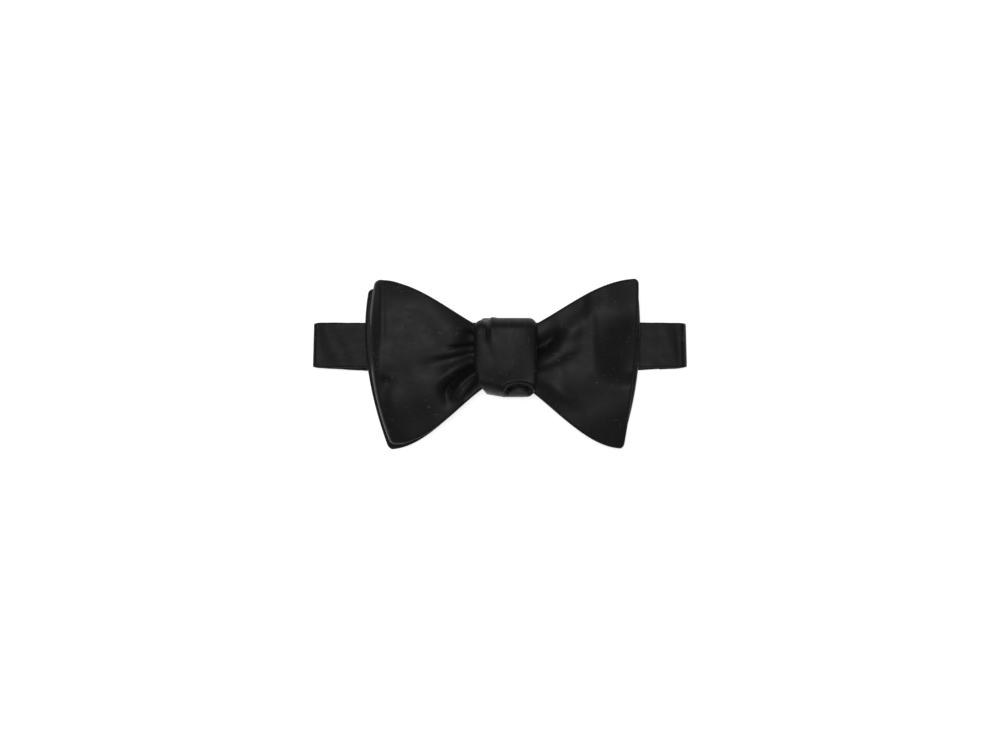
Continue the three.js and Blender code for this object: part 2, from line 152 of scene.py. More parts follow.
def dupion_silk(name, ground, slub_highlight, lustre, weft_streak):
    """Black silk dupion: plain woven from uneven reeled silk, its dye put on in the piece. Short thick
    slubs lie along both threads, painted lighter as a painted highlight for the light they catch, and
    the close weave has a low, dull lustre."""
    material, tree, surface = start_material(
        name,
        {
            "Roughness": 0.56,
            "IOR": 1.54,
            "Specular IOR Level": lustre,
            "Sheen Weight": 0.03,
            "Sheen Roughness": 0.5,
        },
    )
    cloth = add(tree, "ShaderNodeUVMap", uv_map="cloth")
    # Grain sizes in millimetres, along and across the cloth. Threads are 0.2 mm, and the weave
    # is drawn at 0.5 mm, as fine as shows.
    grains = {
        "weft_slub": (4.2, 0.85),
        "warp_slub": (0.85, 3.6),
        "weft_streak": (48, 0.8),
        "weave": (0.5, 0.5),
        "mottle": (5.0, 3.6),
        "slub_patch": (11, 9),
    }
    noise = {}
    for number, (grain, (along, across)) in enumerate(grains.items()):
        place = add(
            tree,
            "ShaderNodeMapping",
            {
                "Vector": cloth,
                "Location": (7.3 * number, 3.1 * number, 0),
                "Scale": (1 / (along * METRES), 1 / (across * METRES), 1),
            },
        )
        noise[grain] = add(
            tree,
            "ShaderNodeTexNoise",
            {"Vector": place, "Scale": 1, "Detail": 1.5, "Distortion": 0.5},
        )
    slubs = [
        add(
            tree,
            "ShaderNodeMapRange",
            {"Value": noise[grain], "From Min": low, "From Max": low + 0.09},
            interpolation_type="SMOOTHSTEP",
        )
        for grain, low in (("weft_slub", 0.64), ("warp_slub", 0.66))
    ]
    # Slubs come in patches, as the yarn runs from even to uneven and back.
    patches = add(
        tree,
        "ShaderNodeMapRange",
        {"Value": noise["slub_patch"], "From Min": 0.44, "From Max": 0.6, "To Min": 0.15},
    )
    any_slub = add(tree, "ShaderNodeMath", {0: slubs[0], 1: slubs[1]}, operation="MAXIMUM")
    slub_highlight_and_bump = add(tree, "ShaderNodeMath", {0: any_slub, 1: patches}, operation="MULTIPLY")
    # The slubs are mixed towards a lighter colour, a painted highlight; the mottle adds a little
    # random tone.
    mottle_and_slub_highlight = add(
        tree,
        "ShaderNodeMath",
        {0: noise["mottle"], 1: 0.08, 2: slub_highlight_and_bump},
        operation="MULTIPLY_ADD",
    )
    base_colour = add(
        tree,
        "ShaderNodeMix",
        {0: mottle_and_slub_highlight, 6: linear(ground), 7: linear(slub_highlight)},
        out=2,
        data_type="RGBA",
    )
    tree.links.new(base_colour, surface.inputs["Base Color"])
    rubbed = add(
        tree,
        "ShaderNodeMapRange",
        {"Value": noise["mottle"], "From Min": 0.3, "From Max": 0.7, "To Min": 0.53, "To Max": 0.59},
    )
    tree.links.new(rubbed, surface.inputs["Roughness"])
    woven = add(
        tree, "ShaderNodeMath", {0: noise["weave"], 1: 0.3, 2: slub_highlight_and_bump}, operation="MULTIPLY_ADD"
    )
    height = add(
        tree,
        "ShaderNodeMath",
        {0: noise["weft_streak"], 1: weft_streak, 2: woven},
        operation="MULTIPLY_ADD",
    )
    bump = add(tree, "ShaderNodeBump", {"Height": height, "Strength": 0.7, "Distance": 0.00012})
    tree.links.new(bump, surface.inputs["Normal"])
    return material


def woven_canvas(name):
    """Interlining canvas: undyed wool and cotton, loosely plain woven and matt, with its two
    sets of threads crossing as small pale squares."""
    material, tree, surface = start_material(
        name, {"Roughness": 0.95, "IOR": 1.5, "Specular IOR Level": 0.2, "Sheen Weight": 0.2}
    )
    thread_spacing = 0.9
    place = add(tree, "ShaderNodeTexCoord", out="Object")
    sets = [
        add(
            tree,
            "ShaderNodeTexWave",
            {"Vector": place, "Scale": 0.31 / (thread_spacing * METRES), "Distortion": 0.6},
            out="Fac",
            bands_direction=direction,
        )
        for direction in "XY"
    ]
    crossing = add(tree, "ShaderNodeMath", {0: sets[0], 1: sets[1]}, operation="MULTIPLY")
    base_colour = add(
        tree,
        "ShaderNodeMix",
        {0: crossing, 6: linear("#a39c89"), 7: linear("#d8d2c2")},
        out=2,
        data_type="RGBA",
    )
    tree.links.new(base_colour, surface.inputs["Base Color"])
    bump = add(tree, "ShaderNodeBump", {"Height": crossing, "Strength": 0.7, "Distance": 0.0002})
    tree.links.new(bump, surface.inputs["Normal"])
    return material


def twisted_silk_thread(name):
    """Black silk sewing thread: two plies twisted together, whose turns show as fine slanting
    lines with a faint shine, painted lighter along each ply and darker between: painted shine and
    painted shade."""
    material, tree, surface = start_material(
        name, {"Roughness": 0.5, "IOR": 1.54, "Specular IOR Level": 0.35, "Sheen Weight": 0.1}
    )
    ply_spacing = 0.35
    place = add(
        tree,
        "ShaderNodeMapping",
        {
            "Vector": add(tree, "ShaderNodeTexCoord", out="Object"),
            "Rotation": (0, 0.6, 0.6),
        },
    )
    plies = add(
        tree,
        "ShaderNodeTexWave",
        {"Vector": place, "Scale": 0.31 / (ply_spacing * METRES)},
        out="Fac",
    )
    # The lighter and darker colours along the plies are painted shine and painted shade on thread that
    # is all one black.
    base_colour = add(
        tree,
        "ShaderNodeMix",
        {0: plies, 6: linear("#0d0d0e"), 7: linear("#202022")},
        out=2,
        data_type="RGBA",
    )
    tree.links.new(base_colour, surface.inputs["Base Color"])
    bump = add(tree, "ShaderNodeBump", {"Height": plies, "Strength": 0.6, "Distance": 0.0001})
    tree.links.new(bump, surface.inputs["Normal"])
    return material


def plated_brass(name):
    """Bright nickel plate on stamped brass, tumbled smooth: a pale warm grey mirror, whose fine
    rubbed scratches spread its highlights a little."""
    material, tree, surface = start_material(name, {"Metallic": 1.0, "Roughness": 0.2})
    scratch = (6.0, 0.5, 1.5)  # size of the rubbed grain, in millimetres
    place = add(
        tree,
        "ShaderNodeMapping",
        {
            "Vector": add(tree, "ShaderNodeTexCoord", out="Object"),
            "Scale": [1 / (size * METRES) for size in scratch],
        },
    )
    rubs = add(tree, "ShaderNodeTexNoise", {"Vector": place, "Scale": 1, "Detail": 3})
    plate = add(
        tree,
        "ShaderNodeMix",
        {0: rubs, 6: linear("#bcb8ae"), 7: linear("#cac6bc")},
        out=2,
        data_type="RGBA",
    )
    tree.links.new(plate, surface.inputs["Base Color"])
    gloss = add(
        tree,
        "ShaderNodeMapRange",
        {"Value": rubs, "From Min": 0.3, "From Max": 0.75, "To Min": 0.18, "To Max": 0.27},
    )
    tree.links.new(gloss, surface.inputs["Roughness"])
    bump = add(tree, "ShaderNodeBump", {"Height": rubs, "Strength": 0.1, "Distance": 0.00003})
    tree.links.new(bump, surface.inputs["Normal"])
    return material


def opal_acrylic(name):
    """White opal acrylic, cast and matt, lit from beneath so that it shows almost no shadow."""
    material, tree, surface = start_material(
        name,
        {
            "Roughness": 0.8,
            "Specular IOR Level": 0.2,
            "Emission Color": (1, 1, 1, 1),
            "Emission Strength": 0.74,
        },
    )
    cloud_size = 40
    clouds = add(
        tree,
        "ShaderNodeTexNoise",
        {
            "Vector": add(tree, "ShaderNodeTexCoord", out="Object"),
            "Scale": 1 / (cloud_size * METRES),
        },
    )
    white = add(
        tree,
        "ShaderNodeMix",
        {0: clouds, 6: linear("#f4f4f4"), 7: linear("#fafafa")},
        out=2,
        data_type="RGBA",
    )
    tree.links.new(white, surface.inputs["Base Color"])
    return material


# The colour given for the slubs of each silk is a painted highlight, lighter than its ground.
BOW_SILK = dupion_silk(
    "woven_silk_dupion_bow", ground="#090909", slub_highlight="#3d3d3f", lustre=0.3, weft_streak=0.35
)
BAND_SILK = dupion_silk(
    "woven_silk_dupion_neckband", ground="#0a0a0b", slub_highlight="#343436", lustre=0.24, weft_streak=0.2
)
CANVAS = woven_canvas("woven_interlining_canvas")
THREAD = twisted_silk_thread("twisted_silk_thread")
NICKEL = plated_brass("nickel_plated_brass")

TABLE_DROP = 0.1  # the table is this far under the tie
TABLE_HALF = 4000  # half the table's side
table_mesh = bpy.data.meshes.new("light_table")
table_corners = [
    (x * TABLE_HALF * METRES, y * TABLE_HALF * METRES, 0)
    for x, y in ((-1, -1), (1, -1), (1, 1), (-1, 1))
]
table_mesh.from_pydata(table_corners, [], [(0, 1, 2, 3)])
table_mesh.materials.append(opal_acrylic("opal_acrylic_table"))
table = bpy.data.objects.new("light_table", table_mesh)
table.location.z = CAD_BOX[0][2] - TABLE_DROP * METRES
bpy.context.scene.collection.objects.link(table)

# ------------------------------------------------------------------ making pieces


def smoothstep(value, low, high):
    t = np.clip((value - low) / (high - low), 0, 1)
    return t * t * (3 - 2 * t)


def bell(value, width):
    return np.exp(-((value / width) ** 2))


def grid_faces(rows, columns, first=0, wrapped=False):
    """Quads of a grid of points numbered row by row, closed across its columns if wrapped."""
    i, j = np.meshgrid(
        np.arange(rows - 1), np.arange(columns if wrapped else columns - 1), indexing="ij"
    )
    k = (j + 1) % columns
    quads = [i * columns + j, (i + 1) * columns + j, (i + 1) * columns + k, i * columns + k]
    return (np.stack(quads, -1).reshape(-1, 4) + first).tolist()


def make_piece(name, points, faces, material, cloth=None):
    """A smooth closed piece. cloth holds each point's place on the flat cloth, in millimetres."""
    mesh = bpy.data.meshes.new(name)
    mesh.from_pydata((np.asarray(points).reshape(-1, 3) * METRES).tolist(), [], faces)
    if cloth is not None:
        corners = np.zeros(len(mesh.loops), np.int32)
        mesh.loops.foreach_get("vertex_index", corners)
        flat = (np.asarray(cloth).reshape(-1, 2) * METRES)[corners]
        mesh.uv_layers.new(name="cloth").data.foreach_set("uv", flat.astype(np.float32).ravel())
    mesh.materials.append(material)
    turned = bmesh.new()
    turned.from_mesh(mesh)
    bmesh.ops.recalc_face_normals(turned, faces=turned.faces)
    turned.to_mesh(mesh)
    turned.free()
    mesh.polygons.foreach_set("use_smooth", [True] * len(mesh.polygons))
    piece = bpy.data.objects.new(name, mesh)
    bpy.context.scene.collection.objects.link(piece)
    return piece


def settle(piece, body, slot, *nodes):
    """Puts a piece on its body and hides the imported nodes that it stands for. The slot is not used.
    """
    if nodes:
        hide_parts(*nodes)
    if body:
        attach(piece, body)


def ply_of_cloth(name, upper, lower, cloth, material):
    """One ply with its thickness, from a grid of points on each of its two faces."""
    rows, columns = upper.shape[:2]
    count = rows * columns
    rim = np.concatenate(
        [
            np.arange(columns),
            np.arange(2, rows + 1) * columns - 1,
            rows * columns - np.arange(2, columns + 1),
            np.arange(rows - 2, 0, -1) * columns,
        ]
    )
    ahead = np.roll(rim, -1)
    hem = np.stack([rim, rim + count, ahead + count, ahead], -1).tolist()
    faces = grid_faces(rows, columns) + grid_faces(rows, columns, first=count) + hem
    return make_piece(name, [upper, lower], faces, material, [cloth, cloth])


# ------------------------------------------------------------------ the blades

WAIST = {"x": 2, "top": 13, "middle": 3, "bottom": -6.2}
FLARE = 1.6  # how late a wing widens
FALL = 1.4  # how late a layer drops from the waist's height to its edge's
TUCKED_END = 3.86  # the folded end stops inside the knot


def layer(side, waist_z, top, middle, bottom):
    """One layer of a wing, from the waist to its outer edge's reach, Y and height."""
    return {"side": side, "waist_z": waist_z, "top": top, "middle": middle, "bottom": bottom}


PRESSED = 0.55  # how far a fold stands out, against half its height

# A blade lies across the waist: a flat sewn end on one side, and on the other a layer that
# turns over at its far edge and comes back to the waist under itself.
FRONT_BLADE = [
    layer(1, 17.4, (58.2, 37.3, 11.6), (56.6, 0.4, 15.2), (51.8, -36.6, 8.0)),
    layer(-1, 17.4, (54.8, 36.6, 13.2), (56.2, 0.5, 16.8), (48.0, -35.2, 8.8)),
    layer(-1, 14.7, (54.8, 36.0, 10.1), (56.2, 0.5, 12.9), (48.0, -34.8, 5.2)),
]
REAR_BLADE = [
    layer(-1, 10.5, (59.2, 33.0, 7.0), (59.8, 0.0, 9.9), (50.6, -37.1, 0.9)),
    layer(1, 10.5, (56.2, 36.2, 6.6), (56.8, 0.0, 10.2), (49.6, -35.2, 0.9)),
    layer(1, 12.6, (56.2, 35.6, 9.0), (56.8, 0.0, 12.6), (49.6, -35.0, 3.3)),
]


def layer_points(wing, p, v):
    """Points of a layer: p goes from the waist to the outer edge, v from bottom to top."""
    p, v = np.broadcast_arrays(p, v)
    flare = np.sin(math.pi / 2 * p) ** FLARE
    shares = {"bottom": v * (v - 1) / 2, "middle": 1 - v * v, "top": v * (v + 1) / 2}
    total = np.zeros(p.shape + (3,))
    for key, share in shares.items():
        reach, y, z = wing[key]
        total[..., 0] += share * (WAIST["x"] + wing["side"] * reach * p)
        total[..., 1] += share * (WAIST[key] + (y - WAIST[key]) * flare)
        total[..., 2] += share * (wing["waist_z"] + (z - wing["waist_z"]) * p**FALL)
    return total


def blade_points(blade, u, v):
    """A blade's middle: u is 0 at its sewn end, 1 at the waist, and 2 to 3 round its fold."""
    end, far, back = blade
    fold_top, fold_foot = layer_points(far, 1.0, v), layer_points(back, 1.0, v)
    angle = np.clip(u - 2, 0, 1) * math.pi
    fold = fold_top + (fold_foot - fold_top) * ((1 - np.cos(angle)) / 2)[..., None]
    radius = np.linalg.norm(fold_foot - fold_top, axis=-1) / 2
    fold[..., 0] += far["side"] * PRESSED * radius * np.sin(angle)
    stretches = [
        (u <= 1, layer_points(end, np.clip(1 - u, 0, 1), v)),
        (u <= 2, layer_points(far, np.clip(u - 1, 0, 1), v)),
        (u < 3, fold),
        (u <= 4, layer_points(back, np.clip(4 - u, 0, 1), v)),
    ]
    which = [np.broadcast_to(test, fold.shape[:2])[..., None] for test, _ in stretches]
    return np.select(which, [points for _, points in stretches])


def rounded(route, cuts=3):
    """A route of points with its corners cut several times, so that it bends smoothly."""
    route = np.asarray(route, float)
    for _ in range(cuts):
        start, stop = route[:-1], route[1:]
        cut = np.stack([0.75 * start + 0.25 * stop, 0.25 * start + 0.75 * stop], 1)
        route = np.concatenate([route[:1], cut.reshape(-1, 2), route[-1:]])
    return route


def crease(x, y, route, width, height):
    """A soft ridge, or a groove where height is below 0, along a route of points. It comes up
    over its first tenth and dies away over its last half."""
    route = rounded(route)
    steps = np.diff(route, axis=0)
    lengths = np.linalg.norm(steps, axis=1)
    nearest, share, gone = np.full(x.shape, np.inf), np.zeros(x.shape), 0.0
    for start, step, length in zip(route, steps / lengths[:, None], lengths):
        t = np.clip((x - start[0]) * step[0] + (y - start[1]) * step[1], 0, length)
        away = np.hypot(x - start[0] - t * step[0], y - start[1] - t * step[1])
        share = np.where(away < nearest, (gone + t) / lengths.sum(), share)
        nearest = np.minimum(nearest, away)
        gone += length
    fade = smoothstep(share, -0.05, 0.1) * (1 - smoothstep(share, 0.5, 1.0))
    return height * bell(nearest, width) * fade


KNOT_LEFT, KNOT_RIGHT = KNOT_LOW[0], KNOT_HIGH[0]


def slack(x, y):
    """The slow unevenness of cloth that was folded and tied by hand."""
    return 0.22 * np.sin(0.33 * x + 0.14 * y + 1) + 0.2 * np.sin(0.12 * x - 0.29 * y + 2)


def left_wing_relief(x, y):
    """Gathers and folds of the front layer, left of the knot."""
    knot = KNOT_LEFT
    routes = [
        # Fine gathers where the knot grips the cloth.
        ([(knot + 1, 13.5), (knot - 5, 15.0)], 0.9, -0.8),
        ([(knot + 1, 9.0), (knot - 7, 8.2), (knot - 13, 6.6)], 0.8, -1.1),
        ([(knot + 1, 7.0), (knot - 9, 5.4), (knot - 20, 3.0)], 1.3, 0.7),
        # The broad fold under them.
        ([(knot + 1, 5.4), (knot - 9, 2.4), (knot - 28, -2.5)], 3.0, -0.9),
        ([(knot + 1, 1.4), (knot - 8, -2.6), (knot - 20, -10.0)], 2.4, 1.0),
        # The deepest fold, and the little pleat that stands up beside it.
        ([(knot + 1, -0.6), (knot - 6, -4.6), (knot - 12, -9.5), (knot - 15, -16)], 2.2, -3.2),
        ([(knot - 10, -8.0), (knot - 12, -13.0), (knot - 11, -20)], 2.2, -1.2),
        ([(knot + 2, -3.0), (knot - 3.5, -6.5), (knot - 8, -13.0), (knot - 9, -17)], 1.0, 1.9),
        ([(knot + 2, -7.0), (knot - 2.4, -11.5), (knot - 6.0, -17.0)], 1.3, -1.3),
        # Long soft swells over the wing, and a dent by its lower edge.
        ([(knot - 2, 13.0), (knot - 20, 23.0), (knot - 40, 34)], 6.0, 0.9),
        ([(-48.5, -5.0), (-51.5, -14.0), (-50.0, -34.0)], 3.4, -1.2),
    ]
    total = sum(crease(x, y, *route) for route in routes)
    # The fold rolls over, with a pressed line beside it along the wing's upper part.
    total -= 2.3 * (1 - smoothstep(x, -57.5, -51.4))
    return total + 0.6 * bell(x + 50.6 + 0.02 * y, 1.3) * smoothstep(y, 4, 16)


def right_wing_relief(x, y):
    """Gathers and folds of the sewn end, right of the knot."""
    knot = KNOT_RIGHT
    routes = [
        # The pocket beside the knot's upper corner, and the ridges that run out of it.
        ([(knot - 3, 7.0), (knot + 3, 7.8), (knot + 7, 11.0), (knot + 13, 16.5)], 3.9, -3.4),
        ([(knot - 1, 0.0), (knot + 5, 4.0), (knot + 17, 16.0), (knot + 34, 33.0)], 3.8, 1.1),
        ([(knot - 1, -2.0), (knot + 10, 3.5), (knot + 24, 12.0)], 2.6, 0.7),
        ([(knot + 23.2, 34.0), (knot + 23.4, 16.0), (knot + 24, -8.0)], 2.4, 0.6),
        ([(knot - 1, -5.0), (knot + 6, -9.0), (knot + 22, -20.0)], 3.0, 0.7),
    ]
    total = sum(crease(x, y, *route) for route in routes)
    # A broad hollow under the upper corner, that slopes down towards the wing's edge.
    left_side = smoothstep(x, knot + 24 - 0.05 * y, knot + 41)
    right_side = 1 - smoothstep(x, knot + 41, knot + 48)
    fall = smoothstep(-y, -27, -1) * (1 - smoothstep(-y, 1, 11))
    corner_lift = 2.4 * smoothstep(x, knot + 18, knot + 30) * smoothstep(y, -1, 24)
    return total + corner_lift - 4.3 * left_side * right_side * fall


def front_relief(x, y, on_left):
    """How far the front blade's cloth stands out of its smooth shape."""
    from_knot = np.where(on_left, KNOT_LEFT - x, x - KNOT_RIGHT)
    swell = 2.4 * smoothstep(from_knot, -2, 11)
    wing = np.where(on_left, left_wing_relief(x, y), right_wing_relief(x, y))
    held = smoothstep(from_knot, -7, -1)
    return held * (wing + swell + slack(x, y))


PLY = {"inner_face": 0.45, "outer_face": 0.85, "canvas_face": 0.3}  # from the blade's middle
SEAM_ROLL = 1.3  # the cloth rolls over to its seams within this distance
SEAM_GAP = 0.03
CORNER = 2.2  # radius of the sewn end's corners
NEAR_SEAM = np.array([0.962, 0.972, 0.980, 0.987, 0.992, 0.996, 0.9988])


def blade_grid(blade, is_front):
    """A blade's middle as a fine grid, and each point's distance from the nearest seam."""
    v = np.concatenate([[-1], -NEAR_SEAM[::-1], np.linspace(-0.953, 0.953, 89), NEAR_SEAM, [1]])
    u = np.concatenate(
        [
            [0, 0.002, 0.005, 0.009, 0.014, 0.020],
            np.linspace(0.028, 1.99, 136),
            np.linspace(2, 3, 22),
            np.linspace(3.02, TUCKED_END, 42),
        ]
    )[:, None]
    v = v[None, :]
    plain = blade_points(blade, u, v)
    wing_length = 56
    half_height = np.linalg.norm(np.diff(plain, axis=1), axis=-1).sum(axis=1)[:, None] / 2
    from_side = (1 - np.abs(v)) * half_height
    # Beside a corner of the sewn end the rows draw in, so that the corner is round.
    into_corner = np.clip(1 - from_side / CORNER, 0, 0.9999)
    drawn_in = CORNER * (1 - np.sqrt(1 - into_corner**2)) / wing_length
    points = blade_points(blade, u + drawn_in * np.clip(1 - u / 0.25, 0, 1), v)
    # The fold's own corners are a little rounder than its pressed line.
    by_fold = smoothstep(u, 1.8, 2) * (1 - smoothstep(u, 3, 3.2))
    points[..., 0] -= blade[1]["side"] * drawn_in * wing_length * by_fold
    if is_front:
        x, y = points[..., 0], points[..., 1]
        points[..., 2] += front_relief(x, y, u > 1) * (1 - smoothstep(u, 2, 2.8))
        # The looped wing's lower edge is drawn up a little, off the wing behind it.
        points[..., 1] += 0.7 * smoothstep(-x, 20, 42) * ((1 - v) / 2) ** 4
    from_end = np.where(u < 0.5, u * wing_length, np.inf)
    return points, np.minimum(from_side, from_end)


def on_flat_cloth(points):
    """Lengths along and across the cloth itself, from a grid of points on it."""
    middle = points.shape[1] // 2
    along = np.linalg.norm(np.diff(points[:, middle], axis=0), axis=-1)
    across = np.linalg.norm(np.diff(points, axis=1), axis=-1)
    u = np.concatenate([[0], np.cumsum(along)])
    v = np.pad(np.cumsum(across, axis=1), ((0, 0), (1, 0)))
    v -= v[:, middle : middle + 1]
    return np.stack([np.broadcast_to(u[:, None], v.shape), v], -1)


def blade_ply(name, grid, low, high, material, is_canvas=False):
    """One ply of a blade between two distances from its middle, rolled down at its seams."""
    points, from_seam = grid
    if is_canvas:
        points, from_seam = points[9:-4, 10:-10], from_seam[9:-4, 10:-10]
    roll = np.sqrt(1 - (1 - np.clip(from_seam / SEAM_ROLL, 0, 1)) ** 2)
    normal = np.cross(np.gradient(points, axis=0), np.gradient(points, axis=1))
    normal /= np.linalg.norm(normal, axis=-1, keepdims=True)
    meet = SEAM_GAP * np.sign(low + high)
    faces = [points + normal * (level * roll + meet * (1 - roll))[..., None] for level in (high, low)]
    cloth = on_flat_cloth(points)
    piece = ply_of_cloth(name, *faces, cloth, material)
    return piece


def make_blade(name, blade, is_front):
    grid = blade_grid(blade, is_front)
    inner, outer, canvas = PLY["inner_face"], PLY["outer_face"], PLY["canvas_face"]
    outer_panel = blade_ply(f"{name}_outer_silk", grid, -outer, -inner, BOW_SILK)
    settle(outer_panel, "bow", "silk", f"{name}_outer_panel")
    inner_panel = blade_ply(f"{name}_inner_silk", grid, inner, outer, BOW_SILK)
    settle(inner_panel, "bow", "silk", f"{name}_inner_panel")
    stiffener = blade_ply(f"{name}_canvas", grid, -canvas, canvas, CANVAS, is_canvas=True)
    settle(stiffener, "bow", "interlining", f"{name}_interlining")


make_blade("front_blade", FRONT_BLADE, True)
make_blade("rear_blade", REAR_BLADE, False)

# ------------------------------------------------------------------ the knot

WRAP = {"canvas": (0.0, 0.4), "silk": (0.55, 1.05)}  # plies, outwards from the wrap's inside
CROWN = 0.9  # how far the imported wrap's front rises between its edges
KNOT_Y = (KNOT_LOW[1] + WRAP["silk"][1], KNOT_HIGH[1] - WRAP["silk"][1])
KNOT_Z = (KNOT_LOW[2] + WRAP["silk"][1], KNOT_HIGH[2] - WRAP["silk"][1] - CROWN)
KNOT_X = (KNOT_LOW[0] + KNOT_HIGH[0]) / 2
BACK_RADIUS, FRONT_RADIUS = 0.9, 4.4
BACK_HALF_WIDTH = 9.6
FRONT_SPREAD = 4.2  # the wrap's front is wider at each side by this
FOOT_PINCH = 1.6
FACE_CORNER = 3.6  # height of the round corners of the wrap's front
EDGE_CURL = 1.8  # the side edges curl down within this distance


def wrap_section():
    """The wrap's inside, seen along X: points in Y and Z, and the direction out at each."""
    (y0, y1), (z0, z1) = KNOT_Y, KNOT_Z
    corners = [
        (y1 - BACK_RADIUS, z0 + BACK_RADIUS, BACK_RADIUS, -0.5, 26),
        (y1 - FRONT_RADIUS, z1 - FRONT_RADIUS, FRONT_RADIUS, 0.0, 56),
        (y0 + FRONT_RADIUS, z1 - FRONT_RADIUS, FRONT_RADIUS, 0.5, 26),
        (y0 + BACK_RADIUS, z0 + BACK_RADIUS, BACK_RADIUS, 1.0, 56),
    ]
    points, outward = [], []
    for index, (y, z, radius, start, side_steps) in enumerate(corners):
        angles = math.pi * np.linspace(start, start + 0.5, 18)
        out = np.stack([np.cos(angles), np.sin(angles)], -1)
        arc = (y, z) + radius * out
        y_next, z_next, radius_next, _, _ = corners[(index + 1) % len(corners)]
        target = (y_next, z_next) + radius_next * out[-1]
        steps = np.linspace(0, 1, side_steps + 2)[1:-1, None]
        points += [arc, arc[-1] + (target - arc[-1]) * steps]
        outward += [out, np.repeat(out[-1:], side_steps, axis=0)]
    return np.concatenate(points), np.concatenate(outward)


def knot_relief(x, y, z):
    """The wrap's pleat at its top left, its soft creases, and the small roll at its foot."""
    left, top, foot = KNOT_LOW[0], KNOT_HIGH[1], KNOT_LOW[1]
    creases = [
        # The pleat's edge and the fold beside it.
        ([(left + 6.0, top + 5), (left + 5.9, top - 1), (left + 4.9, top - 12)], 1.2, -1.1),
        ([(left + 8.2, top + 5), (left + 8.0, top - 4), (left + 7.4, top - 14)], 1.5, 0.4),
        # Slack drawn towards the pleat and the roll.
        ([(left + 2.4, top - 3), (left + 6.5, top - 13), (left + 10, top - 25)], 2.4, -0.3),
        ([(left + 15, foot + 9), (left + 10, foot + 16), (left + 9, foot + 30)], 3.5, 0.25),
        ([(left + 22.5, foot + 6), (left + 22, foot + 13), (left + 20, foot + 28)], 2.6, -0.2),
    ]
    total = sum(crease(x, y, *route) for route in creases)
    total -= 0.8 * (1 - smoothstep(x, left + 4.6, left + 6.2)) * smoothstep(y, top - 12, top - 3)
    # The roll: a lip of cloth over a small dark opening, with the cloth's turned edge inside.
    roll_x, roll_y, roll_wide, roll_high = left + 19.6, foot + 2.4, 6.6, 3.7
    across, up = (x - roll_x) / roll_wide, (y - roll_y) / roll_high
    ring = np.hypot(across, up)
    upper = smoothstep(up - 0.2 * across, -0.35, 0.35)
    total += 1.1 * bell(ring - 1.06, 0.14) * upper - 2.6 * bell(ring - 0.78, 0.15) * upper
    total -= 0.7 * bell(ring, 0.5)
    return total * smoothstep(z, KNOT_Z[0] + 2, KNOT_Z[1] - 5)


def wrap_ply(name, ply, inset, columns, material):
    """One ply of the wrap: a band round the waist that is pinched at its foot."""
    section, outward = wrap_section()
    y, z = section[:, 0][None, :], section[:, 1][None, :]
    across = np.concatenate([[-1, -0.99, -0.975], np.linspace(-0.95, 0.95, columns), [0.975, 0.99, 1]])
    across = across[:, None]
    rise = smoothstep(z, *KNOT_Z)
    foot = 1 - smoothstep(y, KNOT_Y[0], KNOT_Y[0] + 14)
    # The front's upper and lower corners are round.
    above = np.clip((y - KNOT_Y[1] + FACE_CORNER) / (FACE_CORNER + 0.3), 0, 1)
    below = np.clip((KNOT_Y[0] + FACE_CORNER - y) / (FACE_CORNER + 0.3), 0, 1)
    rounding = rise * (2.2 * (1 - np.sqrt(1 - above**2)) + 2.4 * (1 - np.sqrt(1 - below**2)))
    half = BACK_HALF_WIDTH + FRONT_SPREAD * rise - FOOT_PINCH * foot - rounding - inset
    x = KNOT_X + across * half + 0.7 * foot * rise
    depth = (z - KNOT_Z[0]) / (KNOT_Z[1] - KNOT_Z[0])
    # The crown is highest above the knot's middle, and falls away to its foot.
    from_crown = (y - sum(KNOT_Y) / 2) / (KNOT_Y[1] - KNOT_Y[0]) * 2 - 0.55
    lift = 2.2 * depth * (1 - np.abs(across) ** 3) * (1 - 0.65 * from_crown**2)
    # The foot slopes up to the left, and the side edges curl down onto the blades.
    foot_slope = 3.2 * foot * (0.5 + 0.5 * rise) * smoothstep(-x, -4, 10)
    curl = 1 - np.sqrt(1 - np.clip(1 - (1 - np.abs(across)) * half / EDGE_CURL, 0, 1) ** 2)
    relief = knot_relief(x, y + 0 * x, z + 0 * x)
    # The wrap's end laps over its start at the back.
    lap = 0.3 * ((z <= KNOT_Z[0]) & (y > 3.4))
    faces = []
    for level in ply:
        grow = level + relief + lap - 0.9 * curl * rise
        faces.append(
            np.stack(
                [
                    x,
                    y + outward[:, 0] * grow + foot_slope,
                    z + outward[:, 1] * grow + lift,
                ],
                -1,
            )
        )
    rows, around = x.shape
    count = rows * around
    quads = grid_faces(rows, around, wrapped=True)
    quads += grid_faces(rows, around, first=count, wrapped=True)
    for first in (0, (rows - 1) * around):
        edge = np.arange(around) + first
        ahead = np.roll(edge, -1)
        quads += np.stack([edge, ahead, ahead + count, edge + count], -1).tolist()
    length = np.linalg.norm(np.diff(section, axis=0), axis=1)
    cloth = np.stack([np.broadcast_to(np.pad(np.cumsum(length), (1, 0)), x.shape), x], -1)
    piece = make_piece(name, faces, quads, material, [cloth, cloth])
    return piece


settle(wrap_ply("knot_wrap_silk", WRAP["silk"], 0, 60, BOW_SILK), "bow", "silk", "knot_wrap")
knot_canvas = wrap_ply("knot_wrap_canvas", WRAP["canvas"], 4.5, 30, CANVAS)
settle(knot_canvas, "bow", "interlining", "knot_wrap_interlining")

# ------------------------------------------------------------------ threads


def thread_points(route, radius, sides=8):
    """Rings of points round a thread's route, drawn in at its two ends."""
    route = np.asarray(route, float)
    tangent = np.gradient(route, axis=0)
    tangent /= np.linalg.norm(tangent, axis=1, keepdims=True)
    side = np.cross(tangent, (0.21, 0.13, 0.97))
    side /= np.linalg.norm(side, axis=1, keepdims=True)
    up = np.cross(side, tangent)
    angles = np.linspace(0, 2 * math.pi, sides, endpoint=False)[None, :, None]
    width = np.full((len(route), 1, 1), radius)
    width[[0, -1]] *= 0.4
    return route[:, None] + width * (side[:, None] * np.cos(angles) + up[:, None] * np.sin(angles))


